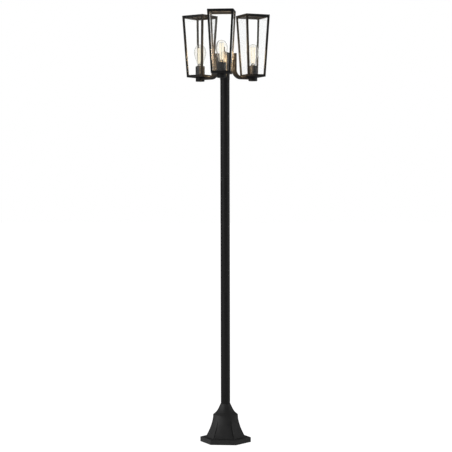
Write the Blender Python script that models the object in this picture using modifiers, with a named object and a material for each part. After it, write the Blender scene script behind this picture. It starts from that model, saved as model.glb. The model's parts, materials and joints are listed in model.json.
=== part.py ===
"""Outdoor post lamp: bell base, round pole in three sections, and three glazed lanterns on J-shaped arms.

Metres, +Z up. The origin is on the pole's axis, on the underside of the ground plate. Lantern 1 faces -Y,
and lanterns 2 and 3 follow at 120 degrees. Each lantern is modelled on its own axis, with its outer side
towards -Y and its bottom plate's underside at z = 0, and an empty carries it to its place.
"""

import math

import bmesh
import bpy
from mathutils import Matrix, Vector

GAP = 0.0003
LANTERN_NUMBERS = (1, 2, 3)

# Base casting
FLANGE_CORNER_R = 0.137
FLANGE_THICKNESS = 0.027
BELL_FOOT_R = 0.109
BELL_TOP_R = 0.067
BELL_TOP_Z = 0.148
BELL_FLARE = 1.75
SHOULDER_R = 0.050
SHOULDER_Z = 0.163
NECK_R = 0.031
NECK_TOP_Z = 0.189
SOCKET_FLOOR_Z = 0.090
SOCKET_FLOOR_T = 0.006
SOCKET_WALL_R = 0.034
BELL_WALL = 0.006
PLATE_R = 0.1035
PLATE_T = 0.006
ANCHOR_R = 0.078
GLAND_Y = 0.045
CAVITY_TOP_Z = 0.138
CAVITY_BENDS_Z = (0.138, 0.095, 0.055)
CAVITY_FOOT_Z = 0.026
PLATE_SEAT_Z = 0.009
BASE_STEPS = 24
NECK_SCREW_ANGLES = (30, 210)
NECK_SCREW_Z = 0.177
NECK_SCREW_R = 0.0024
NECK_HOLE_R = 0.0027
BASE_SCREW_ANGLES = (90, 210)
BASE_SCREW_Z = 0.0042
BASE_SCREW_R = 0.0029
BASE_HOLE_R = 0.0033
ANCHOR_HOLE_R = 0.005
GLAND_HOLE_R = 0.0085
COLLAR_TOP_Z = 0.207

# Pole
POLE_R = 0.025
POLE_WALL = 0.0018
POLE_JOINTS = (0.809, 1.423)
POLE_TOP_Z = 1.947
COUPLING_R = 0.0227
COUPLING_BORE_R = 0.0195
COUPLING_LENGTH = 0.080
POLE_STEPS = 24

# Lamp head
COLUMN_R = 0.026
COLUMN_BORE_R = 0.0175
COLUMN_TOP_Z = 2.089
SPIGOT_LENGTH = 0.050
LUG_Z = (2.024, 2.070)
LUG_WIDTH = 0.028
STUB_INNER_R = 0.049
ARM_THICKNESS = 0.0135
ARM_WIDTH = 0.036
ARM_WALL = 0.0022
ARM_BEND_R = 0.042
ARM_TOP = 0.124
ARM_SCREW_Z = 0.079
CABLE_HOLE_Z = 0.062
TERMINAL_Z = (2.028, 2.056)
LOCK_SCREW_Z = 1.922
LOCK_HOLE_R = 0.0023
CABLE_HOLE_R = 0.005
ARM_SCREW_HOLE_R = 0.0033

# Lanterns
LANTERN_R = 0.166
LANTERN_Z = 1.968
LANTERN_HEIGHT = 0.333
HALF_BOTTOM = 0.0517
HALF_TOP = 0.0692
BAR = 0.010
FLOOR_T = 0.002
LID_T = 0.003
PANE_T = 0.003
PANE_SETBACK = 0.0033
GROOVE_DEPTH = 0.003
CUP_R = 0.024
CUP_DEPTH = 0.022
COVER_TOP = 0.060
SHEET_WALL = 0.0018
STEM_R = 0.005
HOLDER_R = 0.0205
SOCKET_R = 0.0140

# Bulb
CAP_R = 0.0131
CAP_BOTTOM = 0.0352
CAP_TOP = 0.0640
GLASS_NECK_R = 0.0158
GLASS_MAX_R = 0.032
GLASS_MAX_Z = 0.135
GLASS_TOP = 0.178
GLASS_WALL = 0.0011
BULB_STEPS = 14


# ---- scene and materials ----

def clear_scene():
    for old in list(bpy.data.objects):
        bpy.data.objects.remove(old, do_unlink=True)


def new_collection(name):
    collection = bpy.data.collections.new(name)
    bpy.context.scene.collection.children.link(collection)
    return collection


def material(name, color, roughness, metallic=0.0, transmission=0.0):
    made = bpy.data.materials.new(name)
    made.use_nodes = True
    shader = made.node_tree.nodes["Principled BSDF"]
    shader.inputs["Base Color"].default_value = (*color, 1.0)
    shader.inputs["Roughness"].default_value = roughness
    shader.inputs["Metallic"].default_value = metallic
    shader.inputs["Transmission Weight"].default_value = transmission
    made.diffuse_color = (*color, 1.0 - 0.7 * transmission)
    return made


clear_scene()
PARTS = new_collection("post_lamp")
CUTTERS = new_collection("cutters")
BLACK = material("black_coat", (0.022, 0.022, 0.023), 0.55, 0.1)
STEEL = material("dark_steel", (0.09, 0.09, 0.095), 0.4, 0.9)
ZINC = material("zinc", (0.55, 0.56, 0.57), 0.4, 0.9)
PLASTIC = material("black_plastic", (0.03, 0.03, 0.03), 0.5)
IVORY = material("terminal_ivory", (0.75, 0.72, 0.64), 0.5)
BRASS = material("cap_brass", (0.70, 0.62, 0.42), 0.3, 1.0)
CLEAR = material("clear_glass", (0.96, 0.97, 0.97), 0.03, 0.0, 1.0)
RUBBER = material("cable_rubber", (0.02, 0.02, 0.02), 0.7)


# ---- shape helpers ----

def add_object(name, mesh, finish, parent=None, where=(0, 0, 0)):
    """Put a finished mesh in the parts collection as one named sub-part."""
    made = bpy.data.objects.new(name, mesh)
    if not mesh.materials:
        mesh.materials.append(finish)
    PARTS.objects.link(made)
    made.parent = parent
    made.location = where
    return made


def shape_object(name, mesh):
    """A working shape, hidden from the finished part: a cutter, or a blank that bake() turns into a mesh."""
    made = bpy.data.objects.new(name, mesh)
    made.hide_render = True
    made.display_type = "WIRE"
    CUTTERS.objects.link(made)
    return made


def mesh_from(bm, name):
    bmesh.ops.recalc_face_normals(bm, faces=bm.faces)
    mesh = bpy.data.meshes.new(name)
    bm.to_mesh(mesh)
    bm.free()
    return mesh


def bake(blank, name, smooth=True):
    """The blank as its modifiers leave it, as a plain mesh; the blank is removed."""
    bpy.context.view_layer.update()
    graph = bpy.context.evaluated_depsgraph_get()
    mesh = bpy.data.meshes.new_from_object(blank.evaluated_get(graph))
    mesh.name = name
    mesh.transform(blank.matrix_world)
    bpy.data.objects.remove(blank, do_unlink=True)
    if smooth:
        mesh.shade_smooth()
        mesh.set_sharp_from_angle(angle=math.radians(35))
    return mesh


def combine(blank, others, operation):
    for other in others:
        step = blank.modifiers.new(operation.lower(), "BOOLEAN")
        step.operation = operation
        step.solver = "EXACT"
        step.object = other
    return blank


def turned(name, profile, steps, closed=False):
    """Turn an (r, z) profile about Z. It runs down its outer side; a closed one makes a ring."""
    mesh = bpy.data.meshes.new(name)
    count = len(profile)
    edges = [(i, i + 1) for i in range(count - 1)]
    if closed:
        edges.append((count - 1, 0))
    mesh.from_pydata([(r, 0.0, z) for r, z in profile], edges, [])
    blank = shape_object(name, mesh)
    screw = blank.modifiers.new("turn", "SCREW")
    screw.axis = "Z"
    screw.steps = steps
    screw.render_steps = steps
    screw.use_merge_vertices = True
    screw.merge_threshold = 0.00001
    solid = bake(blank, name)
    return shape_object(name, solid)


def rod(name, radius, start, end, sides=16):
    """A plain cylinder between two points."""
    start = Vector(start)
    span = Vector(end) - start
    bm = bmesh.new()
    bmesh.ops.create_cone(bm, cap_ends=True, segments=sides, radius1=radius, radius2=radius, depth=span.length)
    turn = span.to_track_quat("Z", "Y").to_matrix().to_4x4()
    bmesh.ops.transform(bm, matrix=Matrix.Translation(start + span / 2) @ turn, verts=bm.verts)
    return shape_object(name, mesh_from(bm, name))


def block(name, low, high):
    """A box between two corners."""
    bm = bmesh.new()
    bmesh.ops.create_cube(bm, size=1.0)
    size = [b - a for a, b in zip(low, high)]
    middle = [(a + b) / 2 for a, b in zip(low, high)]
    bmesh.ops.scale(bm, vec=size, verts=bm.verts)
    bmesh.ops.translate(bm, vec=middle, verts=bm.verts)
    return shape_object(name, mesh_from(bm, name))


def outline(name, points, width):
    """A flat outline in the YZ plane, extruded evenly to both sides along X."""
    curve = bpy.data.curves.new(name, "CURVE")
    curve.dimensions = "2D"
    curve.fill_mode = "BOTH"
    curve.extrude = width / 2
    spline = curve.splines.new("POLY")
    spline.points.add(len(points) - 1)
    for place, (y, z) in zip(spline.points, points):
        place.co = (y, z, 0.0, 1.0)
    spline.use_cyclic_u = True
    blank = shape_object(name, curve)
    blank.matrix_world = Matrix(((0, 0, 1, 0), (1, 0, 0, 0), (0, 1, 0, 0), (0, 0, 0, 1)))
    mesh = bake(blank, name, smooth=False)
    bm = bmesh.new()
    bm.from_mesh(mesh)
    bmesh.ops.remove_doubles(bm, verts=bm.verts, dist=0.00001)
    return shape_object(name, mesh_from(bm, name))


# ---- base ----

def bell_radius(z):
    """Corner radius of the bell: a concave flare from shoulder to foot."""
    rise = (BELL_TOP_Z - z) / (BELL_TOP_Z - FLANGE_THICKNESS)
    return BELL_TOP_R + (BELL_FOOT_R - BELL_TOP_R) * rise ** BELL_FLARE


def section_radius(corner_r, hexness, angle):
    """Radius of a section between a circle (0) and a hexagon with corners on X (1)."""
    off_flat = (angle + math.pi / 6) % (math.pi / 3) - math.pi / 6
    from_corner = abs(off_flat)
    flat = math.cos(math.pi / 6) / math.cos(math.pi / 6 - from_corner)
    return corner_r * (1 - hexness + hexness * flat)


def bell_sections():
    """(corner radius, hexness, height) of each ring, from the flange's underside to the neck."""
    rings = [(FLANGE_CORNER_R - 0.0015, 1.0, 0.0)]
    rings.append((FLANGE_CORNER_R, 1.0, 0.0015))
    rings.append((FLANGE_CORNER_R, 1.0, FLANGE_THICKNESS - 0.002))
    rings.append((FLANGE_CORNER_R - 0.002, 1.0, FLANGE_THICKNESS))
    count = 7
    for i in range(count + 1):
        part = i / count
        z = FLANGE_THICKNESS + (BELL_TOP_Z - FLANGE_THICKNESS) * part ** 1.25
        rings.append((bell_radius(z), (1 - part) ** 0.8, z))
    rings.append((SHOULDER_R, 0.0, SHOULDER_Z))
    rings.append((NECK_R, 0.0, SHOULDER_Z))
    rings.append((NECK_R, 0.0, NECK_TOP_Z))
    return rings


def base_casting():
    bm = bmesh.new()
    loops = []
    for corner_r, hexness, z in bell_sections():
        loop = []
        for i in range(BASE_STEPS):
            angle = 2 * math.pi * i / BASE_STEPS
            r = section_radius(corner_r, hexness, angle)
            loop.append(bm.verts.new((r * math.cos(angle), r * math.sin(angle), z)))
        loops.append(loop)
    for lower, upper in zip(loops, loops[1:]):
        for i in range(BASE_STEPS):
            j = (i + 1) % BASE_STEPS
            bm.faces.new((lower[i], lower[j], upper[j], upper[i]))
    bm.faces.new(list(reversed(loops[0])))
    bm.faces.new(loops[-1])
    blank = shape_object("base_casting_blank", mesh_from(bm, "base_casting_blank"))

    flat = math.cos(math.pi / 6)
    foot_r = BELL_FOOT_R * flat - BELL_WALL
    hollow = [(0.0, SOCKET_FLOOR_Z - SOCKET_FLOOR_T), (SOCKET_WALL_R, SOCKET_FLOOR_Z - SOCKET_FLOOR_T)]
    hollow.append((SOCKET_WALL_R, CAVITY_TOP_Z))
    for z in CAVITY_BENDS_Z:
        hollow.append((bell_radius(z) * (1 - (1 - flat) * 0.8) - BELL_WALL, z))
    hollow += [(foot_r - 0.001, CAVITY_FOOT_Z), (foot_r - 0.001, PLATE_SEAT_Z), (PLATE_R + 0.0006, PLATE_SEAT_Z)]
    hollow += [(PLATE_R + 0.0006, -0.01), (0.0, -0.01)]
    cavity = turned("base_cavity", hollow, BASE_STEPS)
    bore = [(0.0, NECK_TOP_Z + 0.01), (POLE_R + 0.0004, NECK_TOP_Z + 0.01), (POLE_R + 0.0004, SOCKET_FLOOR_Z)]
    bore += [(0.012, SOCKET_FLOOR_Z), (0.012, 0.07), (0.0, 0.07)]
    pole_bore = turned("pole_bore", bore, POLE_STEPS)
    cutters = [cavity, pole_bore]
    for i, angle in enumerate(NECK_SCREW_ANGLES):
        cutters.append(radial_rod(f"neck_hole_{i}", NECK_HOLE_R, 0.020, 0.040, angle, NECK_SCREW_Z))
    for i, angle in enumerate(BASE_SCREW_ANGLES):
        cutters.append(radial_rod(f"flange_hole_{i}", BASE_HOLE_R, 0.095, 0.130, angle, BASE_SCREW_Z, 12))
    combine(blank, cutters, "DIFFERENCE")
    add_object("base_casting", bake(blank, "base_casting"), BLACK)


def radial_rod(name, radius, inner, outer, degrees, z, sides=10):
    """A cylinder lying along a radius of the post."""
    turn = math.radians(degrees)
    reach = Vector((math.cos(turn), math.sin(turn), 0))
    return rod(name, radius, reach * inner + Vector((0, 0, z)), reach * outer + Vector((0, 0, z)), sides)


def base_fixings():
    plate = turned("plate_blank", [(0.0, PLATE_T), (PLATE_R, PLATE_T), (PLATE_R, 0.0), (0.0, 0.0)], BASE_STEPS)
    holes = [rod("gland_hole", GLAND_HOLE_R, (0, GLAND_Y, -0.01), (0, GLAND_Y, 0.02))]
    for i in range(3):
        turn = math.radians(30 + 120 * i)
        x, y = ANCHOR_R * math.cos(turn), ANCHOR_R * math.sin(turn)
        holes.append(rod(f"anchor_hole_{i}", ANCHOR_HOLE_R, (x, y, -0.01), (x, y, 0.02), 10))
    combine(plate, holes, "DIFFERENCE")
    add_object("ground_plate", bake(plate, "ground_plate"), STEEL)

    top = PLATE_T + GAP
    gland = [(0.0048, top + 0.012), (0.009, top + 0.012), (0.012, top + 0.008), (0.012, top)]
    gland += [(0.008, top), (0.008, 0.001), (0.0048, 0.001)]
    ring = turned("gland_blank", gland, 12, closed=True)
    add_object("cable_gland", bake(ring, "cable_gland"), PLASTIC, where=(0, GLAND_Y, 0))

    for i, angle in enumerate(NECK_SCREW_ANGLES):
        screw = radial_rod(f"neck_screw_{i}", NECK_SCREW_R, POLE_R + GAP, NECK_R - 0.0003, angle, NECK_SCREW_Z)
        add_object(f"neck_screw_{i + 1}", bake(screw, "neck_screw"), STEEL)
    flat_r = FLANGE_CORNER_R * math.cos(math.pi / 6)
    for i, angle in enumerate(BASE_SCREW_ANGLES):
        screw = radial_rod(f"base_screw_{i}", BASE_SCREW_R, PLATE_R + GAP, flat_r - 0.001, angle, BASE_SCREW_Z, 12)
        add_object(f"base_screw_{i + 1}", bake(screw, "base_screw"), STEEL)


def pole_collar():
    """The loose trim cone that hides the clamp screws at the neck of the base."""
    foot = SHOULDER_Z + GAP
    bore = POLE_R + 0.0007
    top = COLLAR_TOP_Z
    outer = [(0.027, top), (0.032, top - 0.010), (0.0365, top - 0.021), (0.0415, top - 0.031)]
    outer += [(0.0465, top - 0.039), (0.0495, foot)]
    inner = [(0.0475, foot), (0.0395, top - 0.031), (0.0335, top - 0.016), (bore, top - 0.011), (bore, top)]
    ring = turned("collar_blank", outer + inner, POLE_STEPS, closed=True)
    add_object("pole_collar", bake(ring, "pole_collar"), BLACK)


# ---- pole ----

def tube(name, outer_r, inner_r, low, high, steps=POLE_STEPS):
    return turned(name, [(outer_r, high), (outer_r, low), (inner_r, low), (inner_r, high)], steps, closed=True)


def pole_section(name, low, high):
    edge = 0.0006
    inner_r = POLE_R - POLE_WALL
    profile = [(POLE_R - edge, high), (POLE_R, high - edge), (POLE_R, low + edge), (POLE_R - edge, low)]
    profile += [(inner_r, low), (inner_r, high)]
    blank = turned(name + "_blank", profile, POLE_STEPS, closed=True)
    if low < LOCK_SCREW_Z < high:
        hole = rod("lock_hole", LOCK_HOLE_R, (0, 0.018, LOCK_SCREW_Z), (0, 0.03, LOCK_SCREW_Z), 10)
        combine(blank, [hole], "DIFFERENCE")
    add_object(name, bake(blank, name), BLACK)


def head_lock_screw():
    """Screw through the pole's wall whose tip clamps the head's spigot against turning."""
    face = POLE_R + GAP
    profile = [(0.0, 0.0014), (0.0028, 0.0010), (0.0042, 0.0), (0.0020, 0.0), (0.0020, -0.0021), (0.0, -0.0021)]
    screw = bake(turned("lock_screw_blank", profile, 12), "head_lock_screw")
    screw.transform(Matrix.Translation((0, face, LOCK_SCREW_Z)) @ Matrix.Rotation(math.radians(-90), 4, "X"))
    add_object("head_lock_screw", screw, STEEL)


def pole():
    ends = (SOCKET_FLOOR_Z, *POLE_JOINTS, POLE_TOP_Z)
    names = ("lower_pole", "middle_pole", "upper_pole")
    for name, low, high in zip(names, ends, ends[1:]):
        pole_section(name, low + GAP, high)
    for name, joint in zip(("lower_coupling", "upper_coupling"), POLE_JOINTS):
        half = COUPLING_LENGTH / 2
        ring = tube(name + "_blank", COUPLING_R, COUPLING_BORE_R, joint - half, joint + half)
        add_object(name, bake(ring, name), ZINC)


def riser_cable():
    """Supply cable inside the post, from the gland to the terminal block."""
    start = PLATE_T + 0.001
    route = [(GLAND_Y, start), (GLAND_Y, start + 0.022), (GLAND_Y - 0.004, 0.042), (GLAND_Y - 0.016, 0.058)]
    route += [(GLAND_Y - 0.031, 0.069), (0.006, 0.078), (0.0, 0.093), (0.0, 0.12), (0.0, TERMINAL_Z[0] - 0.002)]
    curve = bpy.data.curves.new("riser_cable", "CURVE")
    curve.dimensions = "3D"
    curve.bevel_depth = 0.004
    curve.bevel_resolution = 2
    curve.use_fill_caps = True
    spline = curve.splines.new("POLY")
    spline.points.add(len(route) - 1)
    for place, (y, z) in zip(spline.points, route):
        place.co = (0.0, y, z, 1.0)
    mesh = bake(shape_object("riser_cable_blank", curve), "riser_cable")
    bm = bmesh.new()
    bm.from_mesh(mesh)
    bmesh.ops.remove_doubles(bm, verts=bm.verts, dist=0.00001)
    add_object("riser_cable", mesh_from(bm, "riser_cable"), RUBBER)


# ---- lamp head ----

def lantern_turn(number):
    return Matrix.Rotation(math.radians(120 * (number - 1)), 4, "Z")


def arm_hub():
    """Column on top of the pole: spigot below, bore for the wiring, and a lug for each arm."""
    low = POLE_TOP_Z + GAP
    profile = [(COLUMN_R, COLUMN_TOP_Z), (COLUMN_R, low), (COUPLING_R, low), (COUPLING_R, low - SPIGOT_LENGTH)]
    profile += [(COLUMN_BORE_R, low - SPIGOT_LENGTH), (COLUMN_BORE_R, COLUMN_TOP_Z)]
    blank = turned("hub_blank", profile, POLE_STEPS, closed=True)
    lugs, holes = [], []
    for number in LANTERN_NUMBERS:
        turn = lantern_turn(number)
        lug_face = -STUB_INNER_R + GAP
        lug = block(f"lug_{number}", (-LUG_WIDTH / 2, lug_face, LUG_Z[0]), (LUG_WIDTH / 2, -0.021, LUG_Z[1]))
        cable_z = LANTERN_Z + CABLE_HOLE_Z
        screw_z = LANTERN_Z + ARM_SCREW_Z
        cable = rod(f"cable_hole_{number}", CABLE_HOLE_R, (0, -0.060, cable_z), (0, -0.010, cable_z), 12)
        thread = rod(f"thread_hole_{number}", ARM_SCREW_HOLE_R, (0, -0.060, screw_z), (0, -0.032, screw_z), 10)
        for made in (lug, cable, thread):
            made.matrix_world = turn
        lugs.append(lug)
        holes += [cable, thread]
    combine(blank, lugs, "UNION")
    combine(blank, holes, "DIFFERENCE")
    add_object("arm_hub", bake(blank, "arm_hub"), BLACK)

    top = COLUMN_TOP_Z + GAP
    cap = [(0.0, top + 0.036), (0.0038, top + 0.034), (0.0055, top + 0.030), (0.0055, top + 0.011)]
    cap += [(0.012, top + 0.007), (COLUMN_R, top + 0.0025), (COLUMN_R, top)]
    cap += [(COLUMN_BORE_R - 0.0008, top), (COLUMN_BORE_R - 0.0008, top - 0.012), (0.0, top - 0.012)]
    add_object("hub_cap", bake(turned("cap_blank", cap, 20), "hub_cap"), BLACK)

    low_z, high_z = TERMINAL_Z
    terminal = block("terminal_blank", (-0.009, -0.007, low_z), (0.009, 0.007, high_z))
    slots = [rod(f"terminal_{i}", 0.0018, (x, -0.02, high_z - 0.007), (x, 0.02, high_z - 0.007), 8)
             for i, x in enumerate((-0.0055, 0.0, 0.0055))]
    add_object("terminal_block", bake(combine(terminal, slots, "DIFFERENCE"), "terminal_block", False), IVORY)


def arm_outline(inset, length_cut):
    """The J shape in the YZ plane: stub, quarter bend and run, drawn down its inner side and back."""
    half = ARM_THICKNESS / 2 - inset
    stub_y = -(STUB_INNER_R + ARM_THICKNESS / 2)
    run_z = -GAP - ARM_THICKNESS / 2
    centre = (stub_y - ARM_BEND_R, run_z + ARM_BEND_R)
    end_y = -LANTERN_R - 0.011 + length_cut
    steps = 8
    points = [(stub_y + half, ARM_TOP - length_cut)]
    for i in range(steps + 1):
        turn = math.pi / 2 * i / steps
        r = ARM_BEND_R + half
        points.append((centre[0] + r * math.cos(turn), centre[1] - r * math.sin(turn)))
    points += [(end_y, run_z - half), (end_y, run_z + half)]
    for i in reversed(range(steps + 1)):
        turn = math.pi / 2 * i / steps
        r = ARM_BEND_R - half
        points.append((centre[0] + r * math.cos(turn), centre[1] - r * math.sin(turn)))
    points.append((stub_y - half, ARM_TOP - length_cut))
    return points


def arms():
    """Bent box-section arms: hollow for the lamp lead, closed at both ends."""
    blank = outline("arm_blank", arm_outline(0.0, 0.0), ARM_WIDTH)
    hollow = outline("arm_hollow", arm_outline(ARM_WALL, ARM_WALL), ARM_WIDTH - 2 * ARM_WALL)
    stem = rod("arm_stem_hole", STEM_R + 0.0005, (0, -LANTERN_R, -0.03), (0, -LANTERN_R, 0.02), 12)
    cable_start = (0, -STUB_INNER_R - 0.006, CABLE_HOLE_Z)
    cable = rod("arm_cable_hole", CABLE_HOLE_R, cable_start, (0, -0.04, CABLE_HOLE_Z), 12)
    screw = rod("arm_screw_hole", ARM_SCREW_HOLE_R, (0, -0.08, ARM_SCREW_Z), (0, -0.03, ARM_SCREW_Z), 10)
    combine(blank, [hollow, stem, cable, screw], "DIFFERENCE")
    mesh = bake(blank, "arm")

    head_y = -(STUB_INNER_R + ARM_THICKNESS + GAP)
    profile = [(0.0, 0.0022), (0.0035, 0.0018), (0.0052, 0.0), (0.003, 0.0), (0.003, -0.026), (0.0, -0.026)]
    fastener = bake(turned("arm_screw_blank", profile, 12), "arm_screw")
    fastener.transform(Matrix.Translation((0, head_y, ARM_SCREW_Z)) @ Matrix.Rotation(math.radians(90), 4, "X"))
    for number in LANTERN_NUMBERS:
        place = head_empties[number]
        add_object(f"arm_{number}", mesh, BLACK, place)
        add_object(f"arm_screw_{number}", fastener, STEEL, place)


# ---- lanterns ----

def half_side(z):
    """Half the lantern's outer width at a height: it widens evenly upwards."""
    return HALF_BOTTOM + (HALF_TOP - HALF_BOTTOM) * z / LANTERN_HEIGHT


def tapered_block(name, low_z, high_z, inset, depth=None):
    """A box whose sides follow the lantern's taper at an inset. depth=(near, far) keeps only the slab
    that lies between those two distances behind the lantern's -Y face."""
    bm = bmesh.new()
    bmesh.ops.create_cube(bm, size=2.0)
    for vert in bm.verts:
        z = high_z if vert.co.z > 0 else low_z
        x = (half_side(z) - inset) * vert.co.x
        if depth is None:
            y = (half_side(z) - inset) * vert.co.y
        else:
            y = -(half_side(z) - (depth[0] if vert.co.y < 0 else depth[1]))
        vert.co = (x, y, z)
    return shape_object(name, mesh_from(bm, name))


def window(name, low_z, high_z, turn):
    """A cutter right through two opposite sides."""
    bm = bmesh.new()
    bmesh.ops.create_cube(bm, size=2.0)
    for vert in bm.verts:
        z = high_z if vert.co.z > 0 else low_z
        vert.co = ((half_side(z) - BAR) * vert.co.x, 0.1 * vert.co.y, z)
    bm.transform(Matrix.Rotation(turn, 4, "Z"))
    return shape_object(name, mesh_from(bm, name))


def lantern_frame_mesh():
    low = FLOOR_T + GAP
    high = LANTERN_HEIGHT - LID_T - GAP
    blank = tapered_block("frame_blank", low, high, 0.0)
    cutters = [tapered_block("frame_inside", low - 0.01, high + 0.01, BAR + GAP)]
    for i, turn in enumerate((0.0, math.pi / 2)):
        cutters.append(window(f"window_{i}", low + BAR, high - BAR - 0.001, turn))
    for i in range(4):
        groove = tapered_block(f"groove_{i}", low + BAR - GROOVE_DEPTH, high + 0.01, BAR - GROOVE_DEPTH,
                               (PANE_SETBACK - GAP, PANE_SETBACK + PANE_T + GAP))
        groove.matrix_world = Matrix.Rotation(i * math.pi / 2, 4, "Z")
        cutters.append(groove)
    return bake(combine(blank, cutters, "DIFFERENCE"), "lantern_frame", False)


def pane_mesh():
    low = FLOOR_T + BAR - GROOVE_DEPTH + 2 * GAP
    high = LANTERN_HEIGHT - LID_T - 2 * GAP
    faces = (PANE_SETBACK, PANE_SETBACK + PANE_T)
    slab = tapered_block("pane_blank", low, high, BAR - GROOVE_DEPTH + GAP, faces)
    return bake(slab, "glass_pane", False)


def lid_mesh():
    top = LANTERN_HEIGHT
    blank = tapered_block("lid_blank", top - LID_T, top, 0.0)
    skirt_half = half_side(top - 0.014) - BAR - 0.0008
    skirt = block("lid_skirt", (-skirt_half, -skirt_half, top - 0.012), (skirt_half, skirt_half, top - 0.001))
    pocket_half = skirt_half - 0.0015
    pocket = block("lid_pocket", (-pocket_half, -pocket_half, 0.3), (pocket_half, pocket_half, top - LID_T))
    combine(blank, [skirt], "UNION")
    combine(blank, [pocket], "DIFFERENCE")
    return bake(blank, "roof_lid", False)


def floor_mesh():
    blank = tapered_block("floor_blank", 0.0, FLOOR_T, 0.0)
    holes = [rod("floor_hole", STEM_R + 0.0005, (0, 0, -0.01), (0, 0, 0.01), 12)]
    for i, (x, y) in enumerate(((1, 1), (1, -1), (-1, 1), (-1, -1))):
        reach = HALF_BOTTOM - BAR - 0.004
        holes.append(rod(f"drain_{i}", 0.002, (x * reach, y * reach, -0.01), (x * reach, y * reach, 0.01), 8))
    return bake(combine(blank, holes, "DIFFERENCE"), "bottom_plate", False)


def cup_mesh():
    """Open cup under the bottom plate, slotted on the post's side for the arm."""
    inner = CUP_R - SHEET_WALL
    profile = [(CUP_R, -GAP), (CUP_R, -CUP_DEPTH + 0.001), (CUP_R - 0.001, -CUP_DEPTH), (0.0, -CUP_DEPTH)]
    profile += [(0.0, -CUP_DEPTH + SHEET_WALL), (inner, -CUP_DEPTH + SHEET_WALL), (inner, -GAP)]
    blank = turned("cup_blank", profile, 20, closed=False)
    rim = bmesh.new()
    rim.from_mesh(blank.data)
    edges = [edge for edge in rim.edges if edge.is_boundary]
    bmesh.ops.bridge_loops(rim, edges=edges)
    rim.to_mesh(blank.data)
    rim.free()
    half = ARM_WIDTH / 2 + 0.0004
    slot = block("cup_slot", (-half, -0.0135, -ARM_THICKNESS - 3 * GAP), (half, 0.05, 0.01))
    return bake(combine(blank, [slot], "DIFFERENCE"), "arm_cup")


def cover_mesh():
    low = FLOOR_T + GAP
    inner = CUP_R - SHEET_WALL
    hole = STEM_R + 0.0005
    profile = [(CUP_R, COVER_TOP), (CUP_R, low), (hole, low), (hole, low + SHEET_WALL)]
    profile += [(inner, low + SHEET_WALL), (inner, COVER_TOP)]
    return bake(turned("cover_blank", profile, 20, closed=True), "holder_cover")


def lampholder_mesh():
    low = FLOOR_T + SHEET_WALL + 2 * GAP
    top = COVER_TOP - 0.002
    seat = CAP_BOTTOM - GAP
    profile = [(0.0, seat), (SOCKET_R, seat), (SOCKET_R, top), (HOLDER_R, top), (HOLDER_R, low)]
    profile += [(STEM_R, low), (STEM_R, -CUP_DEPTH + SHEET_WALL + GAP), (0.0, -CUP_DEPTH + SHEET_WALL + GAP)]
    return bake(turned("holder_blank", profile, 20), "lampholder")


def bulb_cap_mesh():
    """Screw cap with the glass stem and four straight filaments standing on it."""
    stem_top = 0.136
    profile = [(0.0, stem_top + 0.003), (0.0045, stem_top + 0.0015), (0.0045, stem_top)]
    profile += [(0.0022, stem_top - 0.004), (0.0026, 0.093), (0.0065, 0.090), (0.0065, 0.088)]
    profile += [(0.0036, 0.084), (0.0036, 0.068)]
    profile += [(0.010, CAP_TOP), (CAP_R, CAP_TOP - 0.001), (CAP_R, 0.043), (0.010, 0.038), (0.005, CAP_BOTTOM)]
    profile += [(0.0, CAP_BOTTOM)]
    blank = turned("bulb_cap_blank", profile, BULB_STEPS)
    sticks = []
    for i in range(4):
        turn = math.pi / 4 + math.pi / 2 * i
        x, y = math.cos(turn), math.sin(turn)
        sticks.append(rod(f"filament_{i}", 0.001, (x * 0.0056, y * 0.0056, 0.0885),
                          (x * 0.0036, y * 0.0036, stem_top + 0.0008), 6))
    return bake(combine(blank, sticks, "UNION"), "bulb_cap")


def glass_profile():
    """(r, z) of the pear-shaped envelope's outside, from neck to crown."""
    points = []
    neck_z = CAP_TOP + 0.0006
    for i in range(4):
        part = i / 4
        swell = 0.5 - 0.5 * math.cos(math.pi * part)
        r = GLASS_NECK_R + (GLASS_MAX_R - GLASS_NECK_R) * swell
        points.append((r, neck_z + (GLASS_MAX_Z - neck_z) * part))
    for i in range(4):
        turn = math.pi / 2 * i / 4
        points.append((GLASS_MAX_R * math.cos(turn), GLASS_MAX_Z + (GLASS_TOP - GLASS_MAX_Z) * math.sin(turn)))
    return points


def bulb_glass_mesh():
    outer = glass_profile()
    inner = [(r - GLASS_WALL, z) for r, z in outer]
    neck_r, neck_z = outer[0]
    outside = [(0.0, GLASS_TOP)] + outer[::-1]
    inside = [(neck_r - 0.002, neck_z)] + inner[1:] + [(0.0, GLASS_TOP - GLASS_WALL)]
    profile = outside + inside
    return bake(turned("bulb_glass_blank", profile, BULB_STEPS), "bulb_glass")


def lanterns():
    frame, pane, lid, floor = lantern_frame_mesh(), pane_mesh(), lid_mesh(), floor_mesh()
    cup, cover, holder = cup_mesh(), cover_mesh(), lampholder_mesh()
    cap, glass = bulb_cap_mesh(), bulb_glass_mesh()
    for number in LANTERN_NUMBERS:
        place = lantern_empties[number]
        add_object(f"lantern_frame_{number}", frame, BLACK, place)
        add_object(f"bottom_plate_{number}", floor, BLACK, place)
        add_object(f"arm_cup_{number}", cup, BLACK, place)
        add_object(f"holder_cover_{number}", cover, BLACK, place)
        add_object(f"lampholder_{number}", holder, PLASTIC, place)
        add_object(f"roof_lid_{number}", lid, BLACK, place)
        add_object(f"bulb_cap_{number}", cap, BRASS, place)
        add_object(f"bulb_glass_{number}", glass, CLEAR, place)
        for i, side in enumerate(("outer", "right", "inner", "left")):
            made = add_object(f"glass_{side}_{number}", pane, CLEAR, place)
            made.rotation_euler.z = i * math.pi / 2


def empty(name, matrix):
    made = bpy.data.objects.new(name, None)
    PARTS.objects.link(made)
    made.matrix_world = matrix
    return made


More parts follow.
